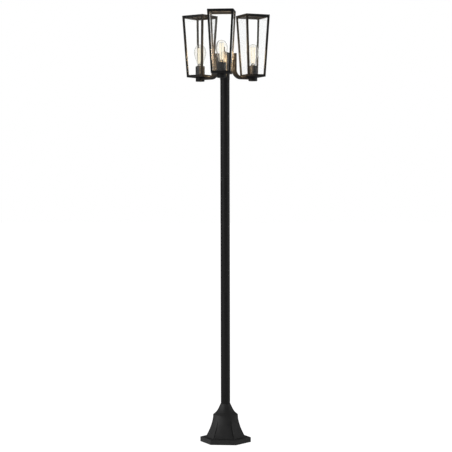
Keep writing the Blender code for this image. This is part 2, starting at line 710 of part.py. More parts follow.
head_empties = {
    n: empty(f"arm_place_{n}", lantern_turn(n) @ Matrix.Translation((0, 0, LANTERN_Z)))
    for n in LANTERN_NUMBERS
}
lantern_empties = {
    n: empty(f"lantern_axis_{n}", lantern_turn(n) @ Matrix.Translation((0, -LANTERN_R, LANTERN_Z)))
    for n in LANTERN_NUMBERS
}

base_casting()
base_fixings()
pole_collar()
pole()
head_lock_screw()
riser_cable()
arm_hub()
arms()
lanterns()
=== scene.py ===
"""Looks of the post lamp: smooth castings and tubes, glazing, lit bulbs, studio light and camera.

Metres, +Z up, in the row frame. Lantern 1 faces -Y and the others follow at 120 degrees. A lantern's
pieces are drawn on its own axis, outer side towards -Y and bottom plate's underside at z = 0, and then
placed.
"""

import json
import math

import bmesh
import bpy
from mathutils import Matrix, Vector

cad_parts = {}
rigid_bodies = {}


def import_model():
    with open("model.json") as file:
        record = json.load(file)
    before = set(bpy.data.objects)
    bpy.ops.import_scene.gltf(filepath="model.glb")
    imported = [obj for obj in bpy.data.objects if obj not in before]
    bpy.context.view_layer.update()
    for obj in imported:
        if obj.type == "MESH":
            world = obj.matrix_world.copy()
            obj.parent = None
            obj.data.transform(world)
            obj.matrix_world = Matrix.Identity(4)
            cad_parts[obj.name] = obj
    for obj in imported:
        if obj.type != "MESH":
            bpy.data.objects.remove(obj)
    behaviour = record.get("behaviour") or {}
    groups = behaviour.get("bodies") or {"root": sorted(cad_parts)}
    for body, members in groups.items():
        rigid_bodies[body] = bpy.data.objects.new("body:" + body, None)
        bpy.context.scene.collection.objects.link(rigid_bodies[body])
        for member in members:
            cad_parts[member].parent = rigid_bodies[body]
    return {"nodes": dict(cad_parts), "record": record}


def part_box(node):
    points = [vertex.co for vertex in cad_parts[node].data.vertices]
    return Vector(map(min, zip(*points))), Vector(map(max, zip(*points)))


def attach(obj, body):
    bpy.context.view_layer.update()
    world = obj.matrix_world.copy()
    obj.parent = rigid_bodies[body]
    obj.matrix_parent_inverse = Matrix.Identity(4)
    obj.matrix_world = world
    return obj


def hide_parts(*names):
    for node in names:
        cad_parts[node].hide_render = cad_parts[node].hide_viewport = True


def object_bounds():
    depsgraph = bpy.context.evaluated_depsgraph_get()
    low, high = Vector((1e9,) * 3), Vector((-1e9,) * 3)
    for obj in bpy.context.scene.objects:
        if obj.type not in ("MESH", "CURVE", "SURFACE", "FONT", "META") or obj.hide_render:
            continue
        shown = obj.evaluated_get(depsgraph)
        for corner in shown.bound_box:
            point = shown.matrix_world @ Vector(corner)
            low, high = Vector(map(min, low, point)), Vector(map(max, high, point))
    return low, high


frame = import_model()
CAD_BOX = [list(corner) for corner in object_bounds()]

# Places and sizes from the frame
LANTERNS = (1, 2, 3)
PLATE_LOW, PLATE_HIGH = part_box("bottom_plate_1")
ARM_LOW, ARM_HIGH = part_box("arm_1")
CUP_LOW, CUP_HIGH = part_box("arm_cup_1")
COVER_LOW, COVER_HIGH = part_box("holder_cover_1")
HOLDER_LOW, HOLDER_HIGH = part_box("lampholder_1")
BULB_LOW, BULB_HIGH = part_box("bulb_glass_1")
CAP_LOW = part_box("bulb_cap_1")[0]
HUB_LOW, HUB_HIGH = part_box("arm_hub")
LANTERN_Z = PLATE_LOW.z
LANTERN_R = -(PLATE_LOW.y + PLATE_HIGH.y) / 2
POLE_R = (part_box("lower_pole")[1].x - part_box("lower_pole")[0].x) / 2
COLUMN_R = POLE_R + 0.001
CUP_R = (CUP_HIGH.x - CUP_LOW.x) / 2
ROUND = 96

# Bell base, as in the frame
FLANGE_R = 0.137
FLANGE_T = 0.027
BELL_FOOT_R = 0.109
BELL_TOP_R = 0.067
BELL_TOP_Z = 0.148
BELL_FLARE = 1.75
SHOULDER_R = 0.050
SHOULDER_Z = 0.163
NECK_R = 0.031
NECK_TOP_Z = 0.189
BELL_WALL = 0.006
SOCKET_FLOOR_Z = 0.090
SOCKET_WALL_R = 0.034
SOCKET_TOP_Z = 0.138
SOCKET_HOLE_R = 0.012
SOCKET_FLOOR_T = 0.006
PLATE_SEAT_R = 0.1041
PLATE_SEAT_Z = 0.009
CREASE = 0.0050

# Places of a bell ring's points, in degrees from each corner of its hexagon, each with its share of the
# crease's depth
CREASE_STEPS = [(-0.8, 0.8), (0, 1), (0.8, 0.8)]
SIDE_STEPS = [1.5, 2.6, 4.2, 6.5, 9.5, 12.5, 16, 19.5, 23, 26.5]
BELL_STEPS = [(-30, 0)] + [(-degrees, 0) for degrees in reversed(SIDE_STEPS)]
BELL_STEPS += CREASE_STEPS + [(degrees, 0) for degrees in SIDE_STEPS]

# Poles, arms and lanterns, as in the frame
TUBE_WALL = 0.0018
HUB_BORE_R = 0.0175
SPIGOT_R = 0.0227
ARM_T = 0.0135
LUG_HALF_WIDTH = 0.014
LUG_FACE_Y = -0.0487
LUG_BACK_Y = -0.019
LUG_LOW = 2.024
LUG_HIGH = 2.070
CAP_PLUG_R = 0.0167
ARM_BEND_R = 0.042
SHEET = 0.0018
ARM_SLOT_Y = -0.0135
STEM_HOLE_R = 0.0055
GAP = 0.0003

# Lampholders and bulbs; the ribs are rings on the holder's side
HOLDER_R = 0.0205
HOLDER_MOUTH_R = 0.0140
HOLDER_STEM_R = 0.005
RIBS = 7
RIB_PITCH = 0.0058
RIB_DEPTH = 0.001
GLASS_WALL = 0.0011
GLASS_NECK_R = 0.0158
GLASS_MAX_R = 0.032
GLASS_MAX_Z = 0.135

# Lit bulbs: the filaments' ends, as heights above the foot of the glass and distances from its axis
FILAMENTS = 8
FILAMENT_LOW = 0.009
FILAMENT_HIGH = 0.096
FILAMENT_FOOT_R = 0.0085
FILAMENT_TOP_R = 0.0120
FILAMENT_R = 0.0015
WIRE_R = 0.0003
BULB_POWER = (5.0, 1.1, 1.8)
BULB_COLOR = (1.0, 0.70, 0.40)

# Room and soft boxes
ROOM_FRONT = 0.085
ROOM_BACK = 0.13
WHITE = 1.0
BEHIND_GLASS = 1.18
THROUGH_LEFT = 0.35
FLOOR_SEEN = 0.98
FLOOR_GLOW = 0.12
LEFT_POWER = 30.0
SIDE_POWER = 24.0
RIGHT_POWER = 18.0

# Camera: metres, degrees and millimetres of lens
CAMERA_DISTANCE = 8.071
CAMERA_AZIMUTH = 5.9306
CAMERA_HEIGHT = 1.3346
CAMERA_YAW = -0.0323
CAMERA_PITCH = -1.2169
CAMERA_ROLL = 0.1073
LENS = 119.56

# What the bulbs light, and what the low box at the side lights
LIT_BY_BULBS = bpy.data.collections.new("lit_by_bulbs")
LIT_FROM_SIDE = bpy.data.collections.new("lit_from_side")


# ---- mesh helpers ----

def mesh_from(bm, name):
    mesh = bpy.data.meshes.new(name)
    bm.to_mesh(mesh)
    bm.free()
    return mesh


def finish_mesh(bm, name, sharp=math.radians(32)):
    """A mesh from bm with smooth shading that breaks at its sharp edges."""
    bmesh.ops.recalc_face_normals(bm, faces=bm.faces)
    for face in bm.faces:
        face.smooth = True
    for edge in bm.edges:
        edge.smooth = not (edge.is_manifold and edge.calc_face_angle(0.0) > sharp)
    return mesh_from(bm, name)


def piece(name, mesh, finish, body, slot_name, *nodes):
    """A visible piece that rides on a body and stands for some CAD nodes."""
    made = bpy.data.objects.new(name, mesh)
    bpy.context.scene.collection.objects.link(made)
    made.data.materials.clear()
    made.data.materials.append(finish)
    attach(made, body)
    if nodes:
        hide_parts(*nodes)
    return made


def loft(rings, close_ring=True, cap=False):
    """Faces between rings of points, first to last; close_ring joins the last ring to the first."""
    bm = bmesh.new()
    loops = [[bm.verts.new(point) for point in ring] for ring in rings]
    pairs = list(zip(loops, loops[1:]))
    if close_ring:
        pairs.append((loops[-1], loops[0]))
    for lower, upper in pairs:
        for i in range(len(lower)):
            j = (i + 1) % len(lower)
            bm.faces.new((lower[i], lower[j], upper[j], upper[i]))
    if cap:
        bm.faces.new(list(reversed(loops[0])))
        bm.faces.new(loops[-1])
    return bm


def turned(profile, steps=ROUND, closed=True):
    """A body of revolution about Z from (r, z) points. A closed profile is a ring; an open one starts
    and ends on the axis, where its points have r = 0."""
    bm = bmesh.new()
    loops = []
    for r, z in profile:
        if r <= 0:
            loops.append([bm.verts.new((0, 0, z))])
            continue
        turns = [2 * math.pi * i / steps for i in range(steps)]
        loops.append([bm.verts.new((r * math.cos(turn), r * math.sin(turn), z)) for turn in turns])
    pairs = list(zip(loops, loops[1:]))
    if closed:
        pairs.append((loops[-1], loops[0]))
    for lower, upper in pairs:
        for i in range(steps):
            j = (i + 1) % steps
            corners = [lower[i % len(lower)], lower[j % len(lower)]]
            corners += [upper[j % len(upper)], upper[i % len(upper)]]
            unique = list(dict.fromkeys(corners))
            if len(unique) > 2:
                bm.faces.new(unique)
    return bm


def rounded(profile, radius, steps=4, closed=True):
    """The profile with its corners rounded, each by at most a third of its shorter side."""
    points = [Vector(point) for point in profile]
    made = []
    count = len(points)
    for i, corner in enumerate(points):
        if not closed and i in (0, count - 1):
            made.append(tuple(corner))
            continue
        before, after = points[i - 1], points[(i + 1) % count]
        reach = min(radius, (before - corner).length / 3, (after - corner).length / 3)
        start = corner + (before - corner).normalized() * reach
        end = corner + (after - corner).normalized() * reach
        for k in range(steps + 1):
            t = k / steps
            made.append(tuple(start * (1 - t) ** 2 + corner * 2 * t * (1 - t) + end * t ** 2))
    return made


def softened(node, width=0.0006, segments=2):
    """A copy of a CAD node's mesh with its hard edges rounded."""
    bm = bmesh.new()
    bm.from_mesh(frame["nodes"][node].data)
    bmesh.ops.remove_doubles(bm, verts=bm.verts, dist=0.000005)
    bmesh.ops.dissolve_limit(bm, angle_limit=math.radians(1.0), verts=bm.verts, edges=bm.edges)
    bend = math.radians(35)
    hard = [edge for edge in bm.edges if edge.is_manifold and edge.calc_face_angle(0.0) > bend]
    bmesh.ops.bevel(bm, geom=hard, offset=width, segments=segments, profile=0.6, affect="EDGES",
                    clamp_overlap=True)
    return finish_mesh(bm, node + "_mesh", math.radians(40))


def cut_out(mesh, cutters):
    """The mesh with the cutter meshes taken away."""
    base = bpy.data.objects.new("cut_base", mesh)
    bpy.context.scene.collection.objects.link(base)
    tools = []
    for cutter in cutters:
        tool = bpy.data.objects.new("cut_tool", cutter)
        bpy.context.scene.collection.objects.link(tool)
        tools.append(tool)
        change = base.modifiers.new("cut", "BOOLEAN")
        change.operation = "DIFFERENCE"
        change.solver = "EXACT"
        change.object = tool
    bpy.context.view_layer.update()
    evaluated = base.evaluated_get(bpy.context.evaluated_depsgraph_get())
    bm = bmesh.new()
    bm.from_mesh(evaluated.to_mesh())
    evaluated.to_mesh_clear()
    for old in (base, *tools):
        bpy.data.objects.remove(old, do_unlink=True)
    return finish_mesh(bm, mesh.name + "_cut")


def block(low, high):
    """A box between its lowest and highest corners."""
    bm = bmesh.new()
    bmesh.ops.create_cube(bm, size=1.0)
    low, high = Vector(low), Vector(high)
    for vert in bm.verts:
        vert.co = Vector(low[i] + (high[i] - low[i]) * (vert.co[i] + 0.5) for i in range(3))
    return bm


def stick(bm, start, end, radius, sides=10):
    """Adds a straight round stick with domed ends to bm."""
    start, end = Vector(start), Vector(end)
    along = (end - start).normalized()
    turn = Vector((0, 0, 1)).rotation_difference(along).to_matrix()
    length = (end - start).length
    stations = [(0.0, 0.25), (radius * 0.3, 0.75), (radius, 1.0), (length - radius, 1.0),
                (length - radius * 0.3, 0.75), (length, 0.25)]
    loops = []
    for reach, share in stations:
        loop = []
        for i in range(sides):
            angle = 2 * math.pi * i / sides
            local = Vector((radius * share * math.cos(angle), radius * share * math.sin(angle), reach))
            loop.append(bm.verts.new(start + turn @ local))
        loops.append(loop)
    for lower, upper in zip(loops, loops[1:]):
        for i in range(sides):
            j = (i + 1) % sides
            bm.faces.new((lower[i], lower[j], upper[j], upper[i]))
    bm.faces.new(list(reversed(loops[0])))
    bm.faces.new(loops[-1])


def turn_to(number):
    """The turn about the post from lantern 1 to another lantern."""
    return Matrix.Rotation(math.radians(120 * (number - 1)), 4, "Z")


def lantern_matrix(number):
    return turn_to(number) @ Matrix.Translation((0, -LANTERN_R, LANTERN_Z))


def placed(mesh, matrix):
    made = mesh.copy()
    made.transform(matrix)
    return made


# ---- materials ----

class Nodes:
    """A new node material with one Principled shader, and short ways to add to it."""

    def __init__(self, name):
        self.material = bpy.data.materials.new(name)
        self.material.use_nodes = True
        self.tree = self.material.node_tree
        self.shader = self.tree.nodes["Principled BSDF"]
        self.place = self.tree.nodes.new("ShaderNodeTexCoord").outputs["Object"]

    def set(self, **values):
        for name, value in values.items():
            self.shader.inputs[name.replace("_", " ")].default_value = value

    def noise(self, scale, detail=3.0, rough=0.55, stretch=(1, 1, 1)):
        mapping = self.tree.nodes.new("ShaderNodeMapping")
        mapping.inputs["Scale"].default_value = stretch
        self.tree.links.new(self.place, mapping.inputs["Vector"])
        made = self.tree.nodes.new("ShaderNodeTexNoise")
        made.inputs["Scale"].default_value = scale
        made.inputs["Detail"].default_value = detail
        made.inputs["Roughness"].default_value = rough
        self.tree.links.new(mapping.outputs["Vector"], made.inputs["Vector"])
        return made.outputs["Fac"]

    def cells(self, scale):
        made = self.tree.nodes.new("ShaderNodeTexVoronoi")
        made.inputs["Scale"].default_value = scale
        self.tree.links.new(self.place, made.inputs["Vector"])
        return made.outputs["Distance"]

    def ramp(self, value, stops):
        made = self.tree.nodes.new("ShaderNodeValToRGB")
        ramp = made.color_ramp
        while len(ramp.elements) < len(stops):
            ramp.elements.new(0.5)
        for element, (where, color) in zip(ramp.elements, stops):
            element.position = where
            element.color = (*color, 1.0) if len(color) == 3 else (color[0], color[0], color[0], 1.0)
        self.tree.links.new(value, made.inputs["Fac"])
        return made.outputs["Color"]

    def spread(self, value, low, high):
        made = self.tree.nodes.new("ShaderNodeMapRange")
        made.inputs["From Min"].default_value = 0.3
        made.inputs["From Max"].default_value = 0.7
        made.inputs["To Min"].default_value = low
        made.inputs["To Max"].default_value = high
        self.tree.links.new(value, made.inputs["Value"])
        return made.outputs["Result"]

    def bump(self, value, strength, distance, under=None):
        made = self.tree.nodes.new("ShaderNodeBump")
        made.inputs["Strength"].default_value = strength
        made.inputs["Distance"].default_value = distance
        self.tree.links.new(value, made.inputs["Height"])
        if under is not None:
            self.tree.links.new(under, made.inputs["Normal"])
        return made.outputs["Normal"]

    def join(self, value, socket):
        self.tree.links.new(value, self.shader.inputs[socket])


# Each finish takes its darkest and lightest colour and its range of roughness

def powder_coat(name, dark, light, rough=(0.44, 0.60), grain=0.09):
    """Textured powder coat: orange-peel cells, fine grit and a slow change of tone."""
    look = Nodes(name)
    tone = look.noise(34.0, 5.0)
    look.join(look.ramp(tone, [(0.30, dark), (0.70, light)]), "Base Color")
    look.join(look.spread(look.noise(150.0, 4.0), *rough), "Roughness")
    peel = look.bump(look.cells(620.0), grain * 0.7, 0.0004)
    look.join(look.bump(look.noise(1500.0, 2.0), grain, 0.0003, peel), "Normal")
    return look.material


def metal(name, dark, light, rough, stretch=(1, 1, 1), metallic=1.0):
    look = Nodes(name)
    look.set(Metallic=metallic)
    streaks = look.noise(260.0, 4.0, stretch=stretch)
    look.join(look.ramp(streaks, [(0.30, dark), (0.72, light)]), "Base Color")
    look.join(look.spread(look.noise(420.0, 3.0, stretch=stretch), *rough), "Roughness")
    look.join(look.bump(streaks, 0.12, 0.0002), "Normal")
    return look.material


def moulded(name, dark, light, rough=(0.40, 0.55)):
    look = Nodes(name)
    look.join(look.ramp(look.noise(90.0), [(0.3, dark), (0.7, light)]), "Base Color")
    look.join(look.spread(look.noise(240.0), *rough), "Roughness")
    look.join(look.bump(look.noise(1800.0, 2.0), 0.18, 0.0002), "Normal")
    return look.material


def glass(name, tint_a, tint_b, wave, ior=1.46):
    """Clear glass with a slow waviness and a faint uneven film on it."""
    look = Nodes(name)
    look.set(Transmission_Weight=1.0, IOR=ior)
    look.join(look.ramp(look.noise(22.0, 2.0), [(0.35, tint_a), (0.65, tint_b)]), "Base Color")
    look.join(look.spread(look.noise(60.0, 5.0), 0.0, 0.035), "Roughness")
    look.join(look.bump(look.noise(26.0, 1.0), wave, 0.0006), "Normal")
    return look.material


def glowing(name, color, strength):
    look = Nodes(name)
    look.set(Emission_Color=(*color, 1.0), Emission_Strength=strength)
    stops = [(0.3, (0.030, 0.024, 0.012)), (0.7, (0.045, 0.036, 0.018))]
    look.join(look.ramp(look.noise(500.0), stops), "Base Color")
    look.join(look.spread(look.noise(300.0), 0.5, 0.65), "Roughness")
    return look.material


COAT = powder_coat("powder_coat", (0.0100, 0.0100, 0.0105), (0.0165, 0.0165, 0.0170))
# Poles: the same black powder coat as COAT, its colour painted lighter to stand in for the light that
# falls on the poles
PAINTED_LIGHT_TUBE_COAT = powder_coat("tube_powder_coat_painted_light", (0.0165, 0.0165, 0.0170), (0.0230, 0.0230, 0.0235),
                        (0.46, 0.60), 0.06)
# Bell and collar: the same black powder coat with a coarser grain; its colour is painted lighter to
# stand in for the light on the base
PAINTED_LIGHT_CAST_COAT = powder_coat("cast_powder_coat_painted_light", (0.032, 0.032, 0.0325), (0.046, 0.046, 0.0465),
                   (0.48, 0.66), 0.22)
STEEL = metal("dark_plated_steel", (0.07, 0.07, 0.075), (0.13, 0.13, 0.135), (0.32, 0.46))
ZINC = metal("zinc_plate", (0.48, 0.50, 0.52), (0.62, 0.64, 0.66), (0.30, 0.45), (1, 1, 6))
PLASTIC = moulded("black_moulding", (0.012, 0.012, 0.012), (0.020, 0.020, 0.020))
IVORY = moulded("ivory_moulding", (0.66, 0.62, 0.53), (0.74, 0.71, 0.62))
RUBBER = moulded("cable_sheath", (0.012, 0.012, 0.013), (0.022, 0.022, 0.023), (0.6, 0.75))
BRASS = metal("nickelled_brass", (0.62, 0.56, 0.42), (0.74, 0.70, 0.58), (0.20, 0.34), (1, 1, 4))
PANE = glass("window_glass", (0.985, 0.992, 0.990), (0.995, 0.998, 0.997), 0.05)
BULB_GLASS = glass("bulb_glass_clear", (0.985, 0.975, 0.95), (0.995, 0.985, 0.965), 0.04)
FILAMENT = glowing("lit_filament", (1.0, 0.925, 0.73), 1.06)
SLOT_LOOKS = {
    "black_coat": COAT, "dark_steel": STEEL, "zinc": ZINC, "black_plastic": PLASTIC,
    "terminal_ivory": IVORY, "cap_brass": BRASS, "clear_glass": PANE, "cable_rubber": RUBBER,
}


def dress_frame():
    """Gives every CAD node that stays the material of its slot."""
    for row in frame["record"]["subparts"]:
        node = frame["nodes"][row["node"]]
        node.data.materials.clear()
        node.data.materials.append(SLOT_LOOKS[row["material_slot"]])


# ---- base ----

def bell_radius(z):
    rise = (BELL_TOP_Z - z) / (BELL_TOP_Z - FLANGE_T)
    return BELL_TOP_R + (BELL_FOOT_R - BELL_TOP_R) * rise ** BELL_FLARE


def section(corner_r, hexness, z, crease=0.0):
    """A ring from a circle (hexness 0) to a hexagon with corners on X (1), creased at each corner."""
    ring = []
    for corner in range(6):
        for degrees, depth in BELL_STEPS:
            from_corner = math.radians(abs(degrees))
            flat = math.cos(math.pi / 6) / math.cos(math.pi / 6 - from_corner)
            r = corner_r * (1 - hexness + hexness * flat) - crease * depth
            angle = math.radians(60 * corner + degrees)
            ring.append((r * math.cos(angle), r * math.sin(angle), z))
    return ring


def bell():
    """The bell base as one closed skin: outside, neck, socket for the pole, and cavity underneath."""
    rings = [(FLANGE_R - 0.0015, 1.0, 0.0), (FLANGE_R - 0.0004, 1.0, 0.0006), (FLANGE_R, 1.0, 0.0018)]
    rings += [(FLANGE_R, 1.0, FLANGE_T - 0.0025), (FLANGE_R - 0.0005, 1.0, FLANGE_T - 0.0010)]
    rings += [(FLANGE_R - 0.0016, 1.0, FLANGE_T - 0.0002), (FLANGE_R - 0.003, 1.0, FLANGE_T)]
    rings += [(BELL_FOOT_R + 0.0015, 1.0, FLANGE_T)]
    count = 36
    for i in range(count + 1):
        part = i / count
        z = FLANGE_T + (BELL_TOP_Z - FLANGE_T) * part ** 1.25
        crease = CREASE * min(1.0, 2.2 * (1 - part)) * (part < 0.97) * min(1.0, 0.4 + 3 * part)
        ease = (0.0, 0.0) if i else (0.0006, 0.0012)
        rings.append((bell_radius(z) - ease[0], (1 - part) ** 0.8, z + ease[1], crease))
    rings += [(BELL_TOP_R - 0.0012, 0.0, BELL_TOP_Z + 0.0012), (SHOULDER_R, 0.0, SHOULDER_Z)]
    rings += [(NECK_R, 0.0, SHOULDER_Z), (NECK_R, 0.0, NECK_TOP_Z - 0.001)]
    rings += [(NECK_R - 0.001, 0.0, NECK_TOP_Z)]
    bore = POLE_R + 0.0004
    rings += [(bore + 0.0005, 0.0, NECK_TOP_Z), (bore, 0.0, NECK_TOP_Z - 0.0005)]
    rings += [(bore, 0.0, SOCKET_FLOOR_Z)]
    under_floor = SOCKET_FLOOR_Z - SOCKET_FLOOR_T
    rings += [(SOCKET_HOLE_R, 0.0, SOCKET_FLOOR_Z), (SOCKET_HOLE_R, 0.0, under_floor)]
    rings += [(SOCKET_WALL_R, 0.0, under_floor), (SOCKET_WALL_R, 0.0, SOCKET_TOP_Z)]
    flat = math.cos(math.pi / 6)
    for z in (SOCKET_TOP_Z, 0.124, 0.110, 0.095, 0.080, 0.066, 0.055, 0.045, 0.036):
        rings.append((bell_radius(z) * (1 - (1 - flat) * 0.8) - BELL_WALL, 0.0, z))
    foot_r = BELL_FOOT_R * flat - BELL_WALL - 0.001
    rings += [(foot_r, 0.0, 0.026), (foot_r, 0.0, PLATE_SEAT_Z), (PLATE_SEAT_R, 0.0, PLATE_SEAT_Z)]
    rings += [(PLATE_SEAT_R, 0.0, 0.0)]
    mesh = finish_mesh(loft([section(*ring) for ring in rings]), "bell_mesh", math.radians(24))
    piece("bell_base", mesh, PAINTED_LIGHT_CAST_COAT, "post", "black_coat", "base_casting")


def collar():
    low, high = (corner.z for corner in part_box("pole_collar"))
    bore = POLE_R + 0.0007
    outer = [(bore + 0.0004, high), (0.0268, high - 0.0004), (0.0276, high - 0.002)]
    outer += [(0.0290, high - 0.005), (0.0312, high - 0.010), (0.0339, high - 0.0165)]
    outer += [(0.0368, high - 0.0225), (0.0398, high - 0.0282), (0.0432, high - 0.0340)]
    outer += [(0.0466, high - 0.0392), (0.0488, low + 0.0022), (0.0494, low + 0.0010), (0.0494, low)]
    inner = [(0.0475, low), (0.0395, high - 0.031), (0.0335, high - 0.016)]
    inner += [(bore, high - 0.011), (bore, high - 0.0005)]
    mesh = finish_mesh(turned(outer + inner), "collar_mesh")
    piece("collar_cone", mesh, PAINTED_LIGHT_CAST_COAT, "collar", "black_coat", "pole_collar")


# ---- pole and hub ----

def poles():
    for name in ("lower_pole", "middle_pole", "upper_pole"):
        low, high = (corner.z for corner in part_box(name))
        inner_r = POLE_R - TUBE_WALL
        profile = [(inner_r, low), (inner_r, high), (POLE_R, high), (POLE_R, low)]
        mesh = finish_mesh(turned(rounded(profile, 0.0005, 3)), name + "_mesh")
        piece(name + "_tube", mesh, PAINTED_LIGHT_TUBE_COAT, "post", "black_coat", name)


def column():
    """Column with a spigot in the pole and a shoulder on it."""
    top = HUB_HIGH.z
    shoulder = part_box("upper_pole")[1].z + GAP
    profile = [(HUB_BORE_R, HUB_LOW.z), (SPIGOT_R, HUB_LOW.z), (SPIGOT_R, shoulder)]
    profile += [(COLUMN_R, shoulder), (COLUMN_R, top), (HUB_BORE_R, top)]
    mesh = finish_mesh(turned(rounded(profile, 0.0007, 3)), "hub_mesh")
    piece("hub_column", mesh, COAT, "head", "black_coat", "arm_hub")


def lugs():
    """The blocks on the column that the arms are screwed to."""
    bm = block((-LUG_HALF_WIDTH, LUG_FACE_Y, LUG_LOW), (LUG_HALF_WIDTH, LUG_BACK_Y, LUG_HIGH))
    bmesh.ops.bevel(bm, geom=list(bm.edges), offset=0.0015, segments=3, profile=0.5, affect="EDGES")
    mesh = finish_mesh(bm, "lug_mesh")
    for number in LANTERNS:
        piece(f"hub_lug_{number}", placed(mesh, turn_to(number)), COAT, "head", "black_coat")


def finial():
    """Cap on the column, with a small knob."""
    low, high = (corner.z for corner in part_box("hub_cap"))
    seat = HUB_HIGH.z + GAP
    knob = [(0.0, 0.0), (0.0022, 0.0003), (0.0040, 0.0013), (0.0052, 0.0032), (0.0055, 0.0056)]
    knob += [(0.0052, 0.0085), (0.0044, 0.0110), (0.0042, 0.0150), (0.0046, 0.0190)]
    dome = [(0.0060, 0.0222), (0.0088, 0.0252), (0.0130, 0.0283), (0.0185, 0.0308), (0.0235, 0.0326)]
    cap = [(r, high - drop) for r, drop in knob + dome]
    cap += [(COLUMN_R - 0.0006, seat + 0.0022), (COLUMN_R, seat + 0.0014), (COLUMN_R, seat)]
    cap += [(CAP_PLUG_R, seat), (CAP_PLUG_R, low), (0.0, low)]
    mesh = finish_mesh(turned(cap, closed=False), "hub_cap_mesh")
    piece("hub_finial", mesh, COAT, "head", "black_coat", "hub_cap")


def arm_mesh():
    """The J arm on the first lantern: a flat box section with rounded edges, swept down and out."""
    half_t, half_w, corner = ARM_T / 2, (ARM_HIGH.x - ARM_LOW.x) / 2, 0.0018
    stub_y = ARM_HIGH.y - half_t
    run_z = ARM_LOW.z + half_t
    centre = Vector((0, stub_y - ARM_BEND_R, run_z + ARM_BEND_R))
    stations = [(Vector((0, stub_y, ARM_HIGH.z)), Vector((0, 1, 0)))]
    bend = 28
    for i in range(bend + 1):
        turn = math.pi / 2 * i / bend
        out = Vector((0, math.cos(turn), -math.sin(turn)))
        stations.append((centre + out * ARM_BEND_R, out))
    stations.append((Vector((0, ARM_LOW.y, run_z)), Vector((0, 0, -1))))

    def ring(place, out, inset):
        points = []
        for sx, sn, start in ((1, 1, 0), (-1, 1, 90), (-1, -1, 180), (1, -1, 270)):
            for k in range(5):
                turn = math.radians(start + 90 * k / 4)
                x = sx * (half_w - corner) + (corner - inset) * math.cos(turn)
                n = sn * (half_t - corner) + (corner - inset) * math.sin(turn)
                points.append(place + Vector((x, 0, 0)) + out * n)
        return points

    rings = []
    first, last = stations[0], stations[-1]
    ease = 0.0010
    down, outward = Vector((0, 0, -1)), Vector((0, -1, 0))
    rings.append(ring(*first, ease))
    rings.append(ring(first[0] + down * ease * 0.35, first[1], ease * 0.35))
    rings.append(ring(first[0] + down * ease, first[1], 0.0))
    rings += [ring(*station, 0.0) for station in stations[1:-1]]
    rings.append(ring(last[0] - outward * ease, last[1], 0.0))
    rings.append(ring(last[0] - outward * ease * 0.35, last[1], ease * 0.35))
    rings.append(ring(*last, ease))
    return finish_mesh(loft(rings, close_ring=False, cap=True), "arm_mesh")


def arms():
    mesh = arm_mesh()
    for number in LANTERNS:
        arm = placed(mesh, turn_to(number))
        piece(f"arm_bar_{number}", arm, COAT, "head", "black_coat", f"arm_{number}")


# ---- lanterns ----

def local_z(world_z):
    return world_z - LANTERN_Z


def cup_mesh():
    low, high = local_z(CUP_LOW.z), local_z(CUP_HIGH.z)
    profile = [(0.0, low), (CUP_R - 0.0016, low), (CUP_R - 0.0005, low + 0.0005), (CUP_R, low + 0.0016)]
    profile += [(CUP_R, high), (CUP_R - SHEET, high), (CUP_R - SHEET, low + SHEET), (0.0, low + SHEET)]
    mesh = finish_mesh(turned(profile, closed=False), "cup_mesh")
    half = (ARM_HIGH.x - ARM_LOW.x) / 2 + 0.0004
    slot = block((-half, ARM_SLOT_Y, -ARM_T - 0.0009), (half, 0.05, 0.01))
    return cut_out(mesh, [mesh_from(slot, "arm_slot")])


def cover_mesh():
    low, high = local_z(COVER_LOW.z), local_z(COVER_HIGH.z)
    inner = CUP_R - SHEET
    profile = [(STEM_HOLE_R, low), (CUP_R, low), (CUP_R, high), (inner, high), (inner, low + SHEET)]
    profile += [(STEM_HOLE_R, low + SHEET)]
    return finish_mesh(turned(rounded(profile, 0.0008, 4)), "cover_mesh")


def holder_mesh():
    """Lampholder: ribbed body with a rounded mouth, and the stem that hangs through the arm."""
    low, high = local_z(HOLDER_LOW.z), local_z(HOLDER_HIGH.z)
    seat = local_z(CAP_LOW.z) - 0.0003
    body_low = local_z(COVER_LOW.z) + SHEET + 0.0003
    groove_r = HOLDER_R - RIB_DEPTH
    profile = [(0.0, seat), (HOLDER_MOUTH_R, seat), (HOLDER_MOUTH_R, high - 0.001)]
    profile += [(HOLDER_MOUTH_R + 0.001, high), (HOLDER_R - 0.0013, high), (HOLDER_R, high - 0.0013)]
    for i in range(RIBS):
        top = high - 0.004 - i * RIB_PITCH
        profile += [(HOLDER_R, top), (groove_r, top - 0.0009)]
        profile += [(groove_r, top - 0.0026), (HOLDER_R, top - 0.0035)]
    profile += [(HOLDER_R, body_low + 0.001), (groove_r, body_low)]
    profile += [(HOLDER_STEM_R, body_low), (HOLDER_STEM_R, low), (0.0, low)]
    return finish_mesh(turned(profile, 64, closed=False), "holder_mesh")


def glass_outline(steps=26):
    """(r, z) of the pear-shaped envelope from its neck to its crown."""
    neck_z, top_z = local_z(BULB_LOW.z), local_z(BULB_HIGH.z)
    points = []
    for i in range(steps):
        part = i / steps
        swell = 0.5 - 0.5 * math.cos(math.pi * part)
        r = GLASS_NECK_R + (GLASS_MAX_R - GLASS_NECK_R) * swell
        points.append((r, neck_z + (GLASS_MAX_Z - neck_z) * part))
    crown = top_z - GLASS_MAX_Z
    for i in range(steps // 2):
        turn = math.pi / 2 * i / (steps // 2)
        points.append((GLASS_MAX_R * math.cos(turn), GLASS_MAX_Z + crown * math.sin(turn)))
    return points


def envelope_mesh():
    top_z = local_z(BULB_HIGH.z)
    outer = glass_outline()
    inner = [(r - GLASS_WALL, z) for r, z in outer]
    profile = [(0.0, top_z)] + outer[::-1] + inner + [(0.0, top_z - GLASS_WALL)]
    return finish_mesh(turned(profile, 72, closed=False), "envelope_mesh", math.radians(60))


